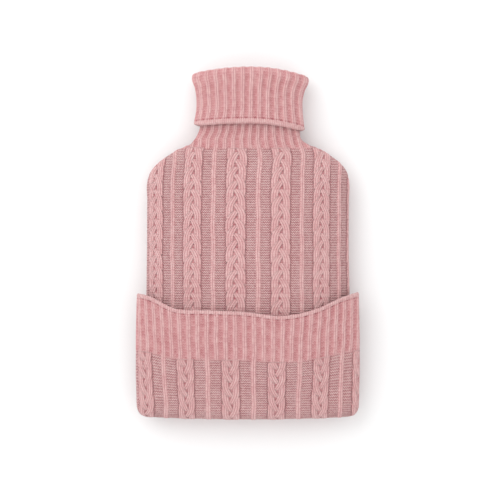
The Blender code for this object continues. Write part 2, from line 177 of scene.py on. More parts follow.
body = {
    "fullness": 2.6,
    "waleNeck": 3.9,
    "fannedOut": (99.5, 86.0),   # between these the ribs spread to their width on the body
    "waleBody": 4.4,
    "patternMiddle": {"front": -2.3, "back": -1.3},   # the wale at the middle of each panel
    "ribbingEnd": 91.15,     # y where the neck's ribbing turns into cables
    "crossing": 7.15,        # from one crossing of a plait to the next
    "sections": (
        levelSection(94.5, -58.5, 60.0, 19.4, 14.0, 14.0),
        levelSection(90.1, -69.0, 71.5, 19.3, 14.6, 14.8),
        levelSection(85.7, -76.8, 79.5, 19.2, 15.2, 15.6),
        levelSection(81.4, -83.0, 85.5, 19.2, 15.8, 16.4),
        levelSection(74.8, -91.0, 93.2, 19.1, 16.8, 17.4),
        levelSection(68.8, -95.8, 97.2, 19.0, 17.7, 18.2),
        levelSection(62.0, -98.4, 99.0, 19.0, 18.5, 18.8),
        levelSection(40.0, -99.0, 99.0, 19.0, 20.0, 18.8),
        levelSection(0.0, -99.2, 98.8, 19.0, 21.0, 18.8),
        levelSection(-50.0, -99.8, 99.6, 19.0, 20.4, 18.8),
        levelSection(-76.0, -99.9, 99.8, 18.7, 19.2, 18.5),
        levelSection(-95.0, -100.0, 100.0, 18.5, 18.2, 18.3),
        levelSection(-130.0, -101.0, 101.0, 17.5, 14.4, 17.3),
        levelSection(-157.5, -102.6, 102.6, 16.5, 10.6, 16.0),
    ),
    "names": {62.0: "shoulderEnd", -76.0: "cuffCovers", -157.5: "footStart"},
}


def bodyRows(panel):
    rows = []
    for sec in body["sections"]:
        depth = sec.front if panel == "front" else -sec.back
        root, spreadEnd = body["fannedOut"]
        spread = float(np.clip((root - sec.yMid) / (root - spreadEnd), 0, 1))
        wale = body["waleNeck"] + (body["waleBody"] - body["waleNeck"]) * spread
        rows.append(layRow(
            panel, sec, depth, lambda x, share: np.full(lanes, sec.yMid), body["fullness"],
            wale=wale, spread=spread, name=body["names"].get(sec.yMid, ""),
        ))
    return rows


cuff = {
    "wale": 4.65,
    "hemX": (-112, -96, -72, -40, 0, 32, 66, 92, 112),
    "hemY": (-48.2, -51.2, -62.9, -64.9, -66.7, -70.5, -63.7, -52.2, -46.2),
    "ribbingFrom": 0.49,     # as a share of the way from the foot to the hem
    "shares": (0, 0.15, 0.3, 0.45, 0.6, 0.75, 0.9, 1),
    "hemBand": 3.6,
    "hemRaise": 0.9,
    "innerHemBack": 1.5,     # how far the hidden hem lies inside the one that shows
    "sections": (            # from the foot up
        levelSection(-157.5, -109.4, 109.0, 21.0, 13.3, 0.0),
        levelSection(-130.0, -110.2, 109.6, 22.0, 17.7, 0.0),
        levelSection(-100.0, -109.8, 109.6, 23.0, 21.4, 0.0),
        levelSection(-66.0, -108.8, 108.6, 24.0, 24.6, 0.0),
    ),
}

foot = {
    "reach": 10.2,
    "corner": 13.0,          # radius of the two lower corners
    "bow": 2.6,              # how much further the middle of the edge reaches than its ends
    "square": 16,            # a low power would round the edge all along
    "edgeFlat": 0.9,         # how much of its plaits' height is lost round the edge
    "edgeFlatReach": 7,      # and how far from there
    "risePower": 0.4,        # its sides rise quickest at first, which closes the corner
    "closesEarly": 0.7,      # rows before the cuff at which the inner layer starts to turn round
    "closesOver": 2,         # rows that it takes
    "turnPoints": 12,        # along a turn of half a circle or less
    "degrees": (-78, -54, -30, -8, 14, 36, 58, 80),   # from the back round to the front
    "frontDegrees": (64, 36),
    "foldDegrees": (40, 90, 140),
    "tipRow": 3,             # the row of the foot that reaches furthest down
    "foldRow": 5,            # the row of the foot that the front panel folds back at
    "foldTuck": 0.93,        # how far across the foot that row reaches
    "foldEnds": 98.6,        # from the middle to the ends of the fold
    "foldSide": 18.8,        # their height
    "drawnUp": 2.6,          # how much further up than its middle they lie
    "slack": 0.3,            # between the cuff's layers and the front panel
}


def footRow(degrees):
    # The back panel on the rounded foot, which reaches furthest down at 0 degrees.
    angle = math.radians(degrees)
    first, last = body["sections"][-1], cuff["sections"][0]
    share = min(1, 1 - degrees / foot["degrees"][0])
    risen = min(1, 1 + degrees / 90) ** foot["risePower"]
    sec = mixSections(first, last, share)._replace(side=mixSections(first, last, risen).side)
    depth = (first.back if degrees < 0 else last.front) * math.sin(angle)
    rounded = math.pi / 4 * math.cos(angle)
    drawIn = foot["corner"] * (1 - math.cos(rounded))
    sec = sec._replace(xLeft=sec.xLeft + drawIn, xRight=sec.xRight - drawIn)
    start = first.yMid
    yMid = start - (foot["reach"] + foot["bow"]) * math.cos(angle)
    yEnd = yMid + foot["bow"] * math.cos(angle)
    ySide = start - foot["corner"] * math.sin(rounded)
    return layRow(
        "back", sec, depth,
        lambda x, share: yMid + (yEnd - yMid) * share**2 + (ySide - yEnd) * share ** foot["square"],
        body["fullness"], wale=body["waleBody"],
    )


def cuffRow(share):
    # The cuff's outer layer, from 0 at the foot to 1 at its hem.
    start, top = cuff["sections"][0].yMid, cuff["sections"][-1].yMid
    sec = blendSections(cuff["sections"], start + share * (top - start))

    def yOf(x, t):
        return start + share * (curveThrough(cuff["hemY"], cuff["hemX"], x) - start)

    wale = body["waleBody"] + (cuff["wale"] - body["waleBody"]) * share
    return layRow("back", sec, sec.front, yOf, body["fullness"], wale=wale)


def wrapRows():
    # The back panel from the foot to the hem of the cuff.
    rows = [footRow(degrees) for degrees in foot["degrees"]] + [cuffRow(s) for s in cuff["shares"]]
    rows[foot["tipRow"]]["name"] = "footTip"
    rows[len(foot["degrees"])]["name"], rows[-1]["name"] = "cuffStart", "cuffHem"
    return rows


def sideOf(points, panel):
    # Which way the knitting's right side faces, at each point of some rows.
    normals = np.cross(np.gradient(points, axis=0), np.gradient(points, axis=1))
    normals[:, (0, -1), 2] = 0
    normals /= np.linalg.norm(normals, axis=2, keepdims=True)
    return normals if panel == "front" else -normals


def frontFootRow(degrees):
    # The front panel inside the rounded foot, on its way down to where it folds back.
    angle = math.radians(degrees)
    last = cuff["sections"][0]
    share = (90 - degrees) / (90 - foot["frontDegrees"][-1])
    start = body["sections"][-1]
    folded = start._replace(xLeft=-foot["foldEnds"], xRight=foot["foldEnds"], side=foot["foldSide"])
    sec = mixSections(start, folded, share)
    inwards = 2 * cloth["layer"] + foot["slack"]
    y = start.yMid - (foot["reach"] + foot["bow"] - inwards) * math.cos(angle)
    return layRow(
        "front", sec, last.side - sec.side + (last.front - inwards) * math.sin(angle),
        lambda x, t: y + foot["drawnUp"] * math.cos(angle) * t**4, collar["fullness"],
        wale=body["waleBody"],
    )


def resample(points):
    # The same line with its points evenly spaced.
    along = np.concatenate([[0], np.cumsum(np.linalg.norm(np.diff(points, axis=0), axis=1))])
    even = np.linspace(0, along[-1], lanes)
    return np.stack([np.interp(even, along, column) for column in points.T], axis=1), along[-1] / 2


def tuckedRow(row, normals, tuck, closed):
    # A row of the front panel that lies one layer inside a row of the back one. Its ends turn round
    # to meet the back panel's edge, all the way where closed is 1.
    inwards = cloth["layer"]
    places = across * tuck
    points = np.stack([np.interp(places, across, column) for column in row["points"].T], axis=1)
    offsets = np.stack([np.interp(places, across, column) for column in normals.T], axis=1)
    points = points - offsets * inwards
    if closed:
        turn = np.linspace(np.pi * (1 - closed), np.pi, foot["turnPoints"])[:-1]
        ends = []
        for end, way in ((0, -1), (-1, 1)):
            edge = row["points"][end]
            middle = edge + np.array([-way * inwards / 2, 0, -cloth["seamGap"]])
            ends.append(middle + inwards / 2 * np.stack(
                [way * np.cos(turn), 0 * turn, -np.sin(turn)], axis=1))
        points = np.concatenate([ends[0], points, ends[1][::-1]])
    points, half = resample(points)
    return {**row, "points": points, "half": half, "crowding": cloth["crowding"]["front"], "name": ""}


def turnedBackRows():
    # The front panel from the foot, where it folds back on itself, to the hem inside the cuff.
    wrap = wrapRows()
    normals = sideOf(np.array([row["points"] for row in wrap]), "back")
    footEnd = len(foot["degrees"])
    outer = []
    for i in range(foot["foldRow"], len(wrap)):
        tuck = float(np.interp(i, (foot["foldRow"], footEnd), (foot["foldTuck"], 1)))
        closed = float(smooth((i - footEnd + foot["closesEarly"]) / foot["closesOver"]))
        outer.append(tuckedRow(wrap[i], normals[i], tuck, closed))
    outer[-1]["points"][:, 1] -= cuff["innerHemBack"]
    inner = [frontFootRow(degrees) for degrees in foot["frontDegrees"]]
    start, end = inner[-1]["points"], outer[0]["points"]
    out = np.cross(np.gradient(end, axis=0), end - start)
    out /= np.linalg.norm(out, axis=1, keepdims=True)
    fold = []
    for degrees in foot["foldDegrees"]:
        angle = math.radians(degrees)
        points = start + (end - start) * (1 - math.cos(angle)) / 2
        points = points + out * cloth["layer"] / 2 * math.sin(angle)
        fold.append({**outer[0], "points": points})
    outer[-1]["name"] = "innerHem"
    return inner + fold + outer


def makeStrip(rows):
    # A panel's rows in order, with how far down the strip each lies and the named places.
    points = np.array([row["points"] for row in rows])
    middle = points[:, lanes // 2]
    length = np.concatenate([[0], np.cumsum(np.linalg.norm(np.diff(middle, axis=0), axis=1))])
    return {
        "points": points,
        "length": length,
        "half": np.array([row["half"] for row in rows]),
        "wale": np.array([row["wale"] for row in rows]),
        "crowding": np.array([row["crowding"] for row in rows]),
        "places": {row["name"]: at for row, at in zip(rows, length) if row["name"]},
    }


strips = {
    "front": makeStrip(collarRows("front") + bodyRows("front") + turnedBackRows()),
    "back": makeStrip(collarRows("back") + bodyRows("back") + wrapRows()),
}
for panel, strip in strips.items():
    # the neck's root runs so level that lengths along it are distances in y
    neckLength = collar["inside"][1].yMid - body["ribbingEnd"]
    strip["places"]["ribbingEnd"] = float(strip["places"]["underCollar"] + neckLength)
    print(panel, "strip", round(strip["length"][-1]), "mm long,",
          round(2 * strip["half"].max()), "mm at its widest")


stitches = {
    "repeat": 20,            # a narrow rib, ground, a plait and ground
    "ribbingRepeat": 4,      # two stitches up and two down
    "ribHalf": 1.0,          # half the width of a rib, in stitches
    "ribSoft": 0.9,          # how many stitches its side takes to rise
    "ribRaise": 1.5,
    "ground": -0.35,
    "plaitMiddle": 10.0,     # in a repeat
    "strandSwing": 6.1,
    "onCuff": 0.88,          # how much narrower a plait is on the cuff
    "narrowsOver": 20,       # over how much of its length
    "strandHalf": 3.9,
    "strandBase": 0.15,
    "strandDome": 0.9,
    "strandLift": 0.35,
    "strandDive": 0.9,       # how far it drops to pass under
    "strandStitches": 1.5,   # from a strand's middle to its edge
    # a strand's way, in crossings since it came up at the middle
    "comesUp": 0.1,          # it starts to come up this much earlier
    "sinksOver": 1.5,        # its lift is gone
    "swungAfter": 1.9,       # it reaches the edge
    "divesAfter": 2.6,       # it starts to dive
    "diveOver": 0.5,         # and takes this long, as coming up does
    "endsAfter": 3.1,
    "core": -0.1,            # the level between the strands at the middle
    "coreWidth": 0.8,        # as a share of the swing
    "edgeDots": 0.5,         # depth of the gaps between a plait's edge and the ground
    "edgeDotWidth": 0.9,
    "edgeDotOut": 0.2,       # from the edge
    "loopRaise": 0.55,       # of a knit stitch
    "purlRaise": 0.55,
    "ribbingLadder": 0.35,   # how strongly rows of purls show between the ribs of ribbing
    "switch": 3.0,           # over how much of its length ribbing turns into cables
    "shadeOfHeight": 0.2,     # share of the painted shade that a stitch's height makes, high stitches lighter; the gaps' painted shade makes the rest
    "shadeFrom": -0.5,        # the height that is painted darkest
    "shadeSpan": 2.0,         # from there to the height painted lightest
    "shadeHidden": 0.85,      # painted shade level of the side that doesn't show
}

# One stitch, which the mesh and the yarn's painted shade both follow
loop = {
    "lean": 0.55,            # how far a knit stitch's legs lean, in rows
    "hump": 0.8,
    "split": 0.25,           # how far the two legs stand apart
    "rowDip": 0.4,           # how much lower it is between rows
    "purlWave": 0.2,         # how wavy a row of purls is, in rows
}

# How far columns of stitches stray from their places, in stitches
stray = {
    "amount": 0.16,
    "along": 9.0,            # mm of length to a radian
    "across": 7.0,           # stitches to a radian
    "starts": (0.6, 1.3),
    "shake": 0.07,
    "shakeAlong": 4.1,
}

# A rolled hem; places across its band run from -1 at its end to 1 at its other edge
rolledHem = {
    "edgeRound": 1.4,        # how near its end the cloth starts to thin
    "roundness": 0.4,
    "strokeDepth": 0.32,     # of the slanted strokes on it
    "strokeStitches": 1.5,   # from one stroke to the next
    "strokeLean": 0.6,
    "bandEnd": 1.1,
    "bandSoft": 0.25,
    "grooveAt": 1.2,         # a dotted groove beside it
    "grooveWidth": 0.2,
    "grooveDepth": 0.7,
    "paler": 0.25,           # it catches more light
}


def dotted(angle):
    # A line of dots that run together slightly.
    return 0.6 + 0.4 * np.cos(angle)


def plaitRelief(p, phase, narrow):
    # Height, and place in the stitches of the strand on top, at p from a plait's middle. Strands
    # come up at the middle in turn, to the right and to the left, cross to the edge and dive.
    unseen = -9.0                        # deeper than anything that shows
    height = np.full(p.shape, unseen)
    u = 0.5 + 0.1 * p                    # between the strands a stitch is drawn out
    for side in (1, -1):
        for earlier in (0, 2):
            passed = (phase + (0 if side > 0 else 1)) % 2 + earlier
            swung = np.sin(np.pi / 2 * np.clip(passed / stitches["swungAfter"], 0, 1))
            centre = side * stitches["strandSwing"] * narrow * swung
            off = (p - centre) / (stitches["strandHalf"] * narrow)
            dome = stitches["strandDome"] * np.sqrt(np.clip(1 - off**2, 0, 1))
            lift = stitches["strandLift"] * (1 - passed / stitches["sinksOver"])
            drop = 1 - smooth((passed + stitches["comesUp"]) / stitches["diveOver"])
            drop = drop + smooth((passed - stitches["divesAfter"]) / stitches["diveOver"])
            top = stitches["strandBase"] + dome + lift - stitches["strandDive"] * drop
            top = np.where((np.abs(off) < 1) & (passed < stitches["endsAfter"]), top, unseen)
            better = top > height
            height = np.where(better, top, height)
            u = np.where(better, off * stitches["strandStitches"] + 0.5, u)
    # painted shade in the gaps between the strands at the plait's middle
    inside = np.abs(p) < stitches["coreWidth"] * stitches["strandSwing"] * narrow
    gaps = np.where(inside & (height < stitches["core"]), 1.0, 0.0)
    height = np.where(inside, np.maximum(height, stitches["core"]), height)
    covered = height > stitches["ground"]
    return np.where(covered, height, 0), u, covered, gaps


def relief(s, t, strip, panel):
    # Height above the ground in millimetres, place in the stitches, and what they are.
    switch = stitches["switch"]
    row = t / cloth["rowHeight"]
    cabled = smooth((t - strip["places"]["ribbingEnd"]) / switch + 0.5)
    if panel == "back":
        start, end = strip["places"]["cuffStart"], strip["places"]["cuffHem"]
        ribbingAgain = start + cuff["ribbingFrom"] * (end - start)
        cabled = cabled * smooth((ribbingAgain - t) / switch + 0.5)
    fold = strip["places"]["collarTop"] + collar["foldRadius"] * np.pi / 2
    flat = 1 - collar["foldFlat"] * np.exp(-((t - fold) / collar["foldFlatReach"]) ** 2)
    if panel == "back":
        fromTip = t - strip["places"]["footTip"]
        flat = flat - foot["edgeFlat"] * np.exp(-(fromTip / foot["edgeFlatReach"]) ** 2)
    cabled = np.broadcast_to(cabled, s.shape)
    row = np.broadcast_to(row, s.shape)

    def ribs(repeat):
        off = np.abs((s + repeat / 2) % repeat - repeat / 2)
        return smooth((stitches["ribHalf"] - off) / stitches["ribSoft"] + 0.5)

    ribbing, single = ribs(stitches["ribbingRepeat"]), ribs(stitches["repeat"])
    p = (s % stitches["repeat"] - stitches["plaitMiddle"]) * body["waleBody"] / 2
    phase = (t - strip["places"]["ribbingEnd"]) / body["crossing"] + 0.5
    narrow = 1.0
    if panel == "back":
        fromBody = t - strip["places"]["footStart"]
        narrow = 1 - (1 - stitches["onCuff"]) * smooth(fromBody / stitches["narrowsOver"])
    plait, plaitU, covered, gaps = plaitRelief(p, np.broadcast_to(phase, s.shape), narrow)
    inPlait = covered & (cabled > 0.5)
    cable = np.where(covered, plait, stitches["ground"] + stitches["ribRaise"] * single)
    # dotted gaps along a plait's edges, sunk into the cloth and painted with shade
    edge = (stitches["strandSwing"] + stitches["strandHalf"]) * narrow + stitches["edgeDotOut"]
    dots = np.exp(-((np.abs(p) - edge) / stitches["edgeDotWidth"]) ** 2) * dotted(2 * np.pi * row)
    cable = cable - stitches["edgeDots"] * dots
    gaps = np.maximum(gaps, dots) * cabled
    plain = stitches["ground"] + stitches["ribRaise"] * ribbing
    height = (plain + (cable - plain) * cabled) * flat
    u = np.where(inPlait, plaitU, s)
    knitted = np.where(inPlait, 1.0, ribbing + (single - ribbing) * cabled)

    within = u % 1
    rows = 0.5 + 0.5 * np.cos(2 * np.pi * (row + loop["lean"] * np.abs(2 * within - 1)))
    legs = loop["hump"] * np.sin(np.pi * within) + loop["split"] * np.abs(np.sin(2 * np.pi * u))
    loops = stitches["loopRaise"] * legs * (1 - loop["rowDip"] + loop["rowDip"] * rows)
    wavy = row + loop["purlWave"] * np.cos(2 * np.pi * s)
    purls = stitches["purlRaise"] * (0.5 + 0.5 * np.cos(2 * np.pi * wavy))
    ladder = stitches["ribbingLadder"] + (1 - stitches["ribbingLadder"]) * cabled
    purls = purls * ladder
    return height + purls + (loops - purls) * knitted, u, row, knitted, gaps, ladder


def numberGrid(places, first):
    # Numbers the points of a grid whose rows end at the seams, where places reach -1 and 1.
    columns = np.arange(places.shape[1])
    left = (places <= -1).sum(axis=1) - 1
    right = places.shape[1] - (places >= 1).sum(axis=1)
    start = first + np.concatenate([[0], np.cumsum(right - left + 1)[:-1]])
    held = np.clip(columns, left[:, None], right[:, None])
    kept = held == columns
    return start[:, None] + held - left[:, None], kept


def gridFaces(index):
    a, b, c, d = (part.ravel() for part in (index[:-1, :-1], index[:-1, 1:], index[1:, 1:], index[1:, :-1]))
    whole = (a != b) & (c != d)
    quads = np.stack([a, b, c, d], axis=1)[whole]
    lower, upper = (a == b) & (c != d), (a != b) & (c == d)
    return quads, np.concatenate([np.stack([b, c, d], axis=1)[lower], np.stack([a, b, c], axis=1)[upper]])


def zipEdges(first, second):
    # Triangles between two lists of (key, point), which rise to the same last key.
    faces, i, j = [], 0, 0
    while i < len(first) - 1 or j < len(second) - 1:
        nextFirst = first[i + 1][0] if i < len(first) - 1 else math.inf
        nextSecond = second[j + 1][0] if j < len(second) - 1 else math.inf
        if nextFirst <= nextSecond:
            faces.append((first[i][1], first[i + 1][1], second[j][1]))
            i += 1
        else:
            faces.append((first[i][1], second[j + 1][1], second[j][1]))
            j += 1
    return faces


def writeMesh(name, points, quads, triangles, attributes, sharpEnds):
    mesh = bpy.data.meshes.new(name)
    mesh.vertices.add(len(points))
    mesh.vertices.foreach_set("co", (points * mm).astype(np.float32).ravel())
    corners = np.concatenate([quads.ravel(), triangles.ravel()])
    starts = np.concatenate([
        np.arange(len(quads)) * 4, len(quads) * 4 + np.arange(len(triangles)) * 3])
    mesh.loops.add(len(corners))
    mesh.loops.foreach_set("vertex_index", corners.astype(np.int32))
    mesh.polygons.add(len(starts))
    mesh.polygons.foreach_set("loop_start", starts.astype(np.int32))
    mesh.update(calc_edges=True)
    for key, values in attributes.items():
        form = "FLOAT_VECTOR" if values.ndim == 2 else "FLOAT"
        layer = mesh.attributes.new(key, form, "POINT")
        layer.data.foreach_set("vector" if values.ndim == 2 else "value", values.astype(np.float32).ravel())
    edit = bmesh.new()
    edit.from_mesh(mesh)
    bmesh.ops.recalc_face_normals(edit, faces=edit.faces)
    edit.verts.ensure_lookup_table()
    for edge in edit.edges:
        a, b = edge.verts[0].index, edge.verts[1].index
        edge.smooth = not (sharpEnds[a] and sharpEnds[a] == sharpEnds[b])
    for face in edit.faces:
        face.smooth = True
    edit.to_mesh(mesh)
    edit.free()
    return mesh


def knitPiece(name, panel, start, end, shown, perStitch, perRow, hem=None):
    # A closed sheet from one named place of a panel's strip to another. Its shown side has
    # perStitch points across each stitch and perRow to the height of each row.
    strip, reach = strips[panel], cloth["slopeReach"]
    first, last = strip["places"][start], strip["places"][end]
    hemAt = strip["places"][hem["at"]] if hem else math.inf
    step = cloth["rowHeight"] / perRow
    inner = np.arange(math.floor(first / step) + 1, math.ceil(last / step)) * step
    clear = cloth["endClear"]
    inner = inner[(inner > first + clear) & (inner < last - clear)]
    t = np.concatenate([[first], inner, [last]])
    surface = curveThrough(strip["points"], strip["length"], t)
    ahead = curveThrough(strip["points"], strip["length"], np.minimum(t + reach, strip["length"][-1]))
    behind = curveThrough(strip["points"], strip["length"], np.maximum(t - reach, 0))
    normals = np.cross(ahead - behind, np.gradient(surface, axis=1))
    normals[:, (0, -1), 2] = 0
    normals /= np.maximum(np.linalg.norm(normals, axis=2, keepdims=True), 1e-9)
    normals *= (1 if panel == "front" else -1) * (1 if shown == "right" else -1)
    half, wale, crowding = (
        curveThrough(strip[key], strip["length"], t) for key in ("half", "wale", "crowding"))
    stitch = wale / 2

    middle = 2 * body["patternMiddle"][panel]
    widest = math.ceil((half / stitch * (1 + crowding * (half / cloth["crowdedAt"]) ** 2)).max()) + 2
    columns = math.floor(middle) + np.arange(-widest * perStitch, (widest + 1) * perStitch + 1) / perStitch
    marks = np.linspace(-1, 1, 2 * lanes - 1)    # places that stitches are counted at
    out = half[:, None] * marks
    closer = 1 + crowding[:, None] * (out / cloth["crowdedAt"]) ** 2
    counted = middle + out / stitch[:, None] * closer
    places = np.array([np.interp(columns, row, marks) for row in counted])

    def read(grid, rows, at):
        # some rows of a grid, read at places between its lanes
        lane = (at + 1) / 2 * (lanes - 1)
        low = np.minimum(lane.astype(int), lanes - 2)
        share = (lane - low)[..., None]
        picked = grid[rows]
        which = np.arange(len(picked))[:, None]
        return picked[which, low] * (1 - share) + picked[which, low + 1] * share

    def edgeShare(at, rows):
        # how much of its thickness the cloth keeps near a seam or a rolled hem
        fromSeam = (1 - np.abs(at)) * half[rows, None]
        near = np.clip(1 - fromSeam / cloth["seamRound"], 0, 1)
        share = cloth["seamLeft"] + (1 - cloth["seamLeft"]) * np.sqrt(1 - near**2)
        if hem:
            fromHem = np.abs(t[rows, None] - hemAt)
            near = np.clip(1 - fromHem / rolledHem["edgeRound"], 0, 1)
            share = share * np.sqrt(np.clip(1 - near**2, 0, 1))
        return share

    everyRow = np.arange(len(t))
    s = np.broadcast_to(columns, places.shape)
    alongStart, acrossStart = stray["starts"]
    sway = stray["amount"] * np.sin(t / stray["along"] + alongStart)[:, None]
    sway = sway * np.sin(s / stray["across"] + acrossStart)
    sway = sway + stray["shake"] * np.sin(t / stray["shakeAlong"])[:, None]
    height, u, v, knitted, gaps, ladder = relief(s + sway, t[:, None], strip, panel)
    if hem:
        off = (np.abs(t[:, None] - hemAt) - hem["band"] / 2) / (hem["band"] / 2)
        roll = hem["raise"] * np.clip(1 - off**2, 0, 1) ** rolledHem["roundness"]
        stroke = s / rolledHem["strokeStitches"] + rolledHem["strokeLean"] * off
        roll = roll + rolledHem["strokeDepth"] * np.cos(2 * np.pi * stroke)
        inBand = smooth((rolledHem["bandEnd"] - off) / rolledHem["bandSoft"])
        inBand = np.broadcast_to(inBand, s.shape)
        height = height + (roll - height) * inBand
        # a dotted groove beside the hem, sunk and painted with shade; the band itself gets a painted
        # highlight
        dots = np.exp(-((off - rolledHem["grooveAt"]) / rolledHem["grooveWidth"]) ** 2) * dotted(np.pi * s)
        height = height - rolledHem["grooveDepth"] * dots
        gaps = np.maximum(gaps, dots) - rolledHem["paler"] * inBand
        knitted = knitted + (1 - knitted) * inBand
    height = height * smooth((1 - np.abs(places)) * half[:, None] / cloth["reliefFade"])
    thick = (cloth["thick"] / 2 + height) * edgeShare(places, everyRow)
    fine = read(surface, everyRow, places) + read(normals, everyRow, places) * thick[..., None]
    index, kept = numberGrid(places, 0)

    coarseRows = np.unique(np.concatenate([everyRow[::cloth["hiddenAlong"]], everyRow[-1:]]))
    everyColumn = np.arange(len(columns))
    coarseColumns = np.unique(np.concatenate([everyColumn[::cloth["hiddenAcross"]], everyColumn[-1:]]))
    coarsePlaces = places[coarseRows][:, coarseColumns]
    thin = cloth["thick"] / 2 * edgeShare(coarsePlaces, coarseRows)
    coarse = read(surface, coarseRows, coarsePlaces)
    coarse = coarse - read(normals, coarseRows, coarsePlaces) * thin[..., None]
    coarseIndex, coarseKept = numberGrid(coarsePlaces, int(kept.sum()))

    points = np.concatenate([fine[kept], coarse[coarseKept]])
    points[:, 2] = np.maximum(points[:, 2], 0)
    shownQuads, shownTriangles = gridFaces(index)
    hiddenQuads, hiddenTriangles = gridFaces(coarseIndex[:, ::-1])
    walls = []
    for side in (0, -1):
        walls += zipEdges(list(zip(t, index[:, side])), list(zip(t[coarseRows], coarseIndex[:, side])))
        fineEnd, coarseEnd = kept[side], coarseKept[side]
        walls += zipEdges(
            list(zip(places[side][fineEnd], index[side][fineEnd])),
            list(zip(coarsePlaces[side][coarseEnd], coarseIndex[side][coarseEnd])))

    flatFine = np.stack([u, v, knitted], axis=2)[kept]
    coarseS = np.broadcast_to(columns[coarseColumns], coarsePlaces.shape)
    coarseV = np.broadcast_to(t[coarseRows, None] / cloth["rowHeight"], coarsePlaces.shape)
    flatCoarse = np.stack([coarseS, coarseV, 0 * coarseV], axis=2)[coarseKept]
    # painted shade: low stitches and the gaps darker, high stitches and the rolled hems lighter
    byHeight = stitches["shadeOfHeight"]
    lightness = smooth((height - stitches["shadeFrom"]) / stitches["shadeSpan"])
    paintedShade = (byHeight * lightness + (1 - byHeight) * (1 - gaps))[kept]
    attributes = {
        "stitchPlace": np.concatenate([flatFine, flatCoarse]),
        "paintedShade": np.concatenate([paintedShade, np.full(len(flatCoarse), stitches["shadeHidden"])]),
        "ladder": np.concatenate([ladder[kept], np.ones(len(flatCoarse))]),
    }
    # a piece's cut ends stay sharp, and a rolled hem is round
    ends = np.zeros(len(points), int)
    if abs(first - hemAt) > 1:
        ends[index[0][kept[0]]] = 1
    if abs(last - hemAt) > 1:
        ends[index[-1][kept[-1]]] = 2
    quads = np.concatenate([shownQuads, hiddenQuads])
    triangles = np.concatenate([shownTriangles, hiddenTriangles, np.array(walls)])
    mesh = writeMesh(name, points, quads, triangles, attributes, ends)
    piece = bpy.data.objects.new(name, mesh)
    bpy.context.scene.collection.objects.link(piece)
    mesh.materials.append(pinkKnit)
    area = float((half[1:] + half[:-1]) @ np.diff(t)) * mm * mm
    width, length = 2 * half.max() * mm, (last - first) * mm
    count = len(quads) * 2 + len(triangles)
    print(name, count, "triangles,", round(width, 3), "x", round(length, 3), "m flat")
    return piece, (width, length), area


yarn = {
    "shades": (              # the yarn's pink with painted shade, from the dark gaps between stitches, where reddish bounce light is painted in, up to the lit crests
        (0.0, (0.36, 0.100, 0.115, 1)),
        (0.35, (0.54, 0.250, 0.257, 1)),
        (0.7, (0.655, 0.378, 0.375, 1)),
        (1.0, (0.73, 0.500, 0.490, 1)),
    ),
    "roughness": 0.92,
    "sheen": 0.25,
    "sheenRoughness": 0.5,
    "specular": 0.2,
    "bump": 0.9,
    "bumpDepth": 0.0008,
    "purlRidge": 0.7,        # how strongly rows of purls show on the ground, in the bump and as painted shade in their valleys
    "purlLevel": 0.55,
    "valleyLevel": 0.05,     # added everywhere between ribs and plaits
    "fibreScale": 1400,
    "fibreDetail": 3,
    "fibreRaise": 0.45,
    "unevenScale": 60,
    "unevenDetail": 4,
    "uneven": 0.2,           # how much the shade drifts over the cover
    "stitchUneven": 0.24,    # how much lighter one stitch may be than another
    # painted shade: how much the painted-shade attribute and the stitches' loft darken gaps and low places
    # and lighten crests
    "paintedShadeShare": 0.5,
    "loftShare": 0.5,
}


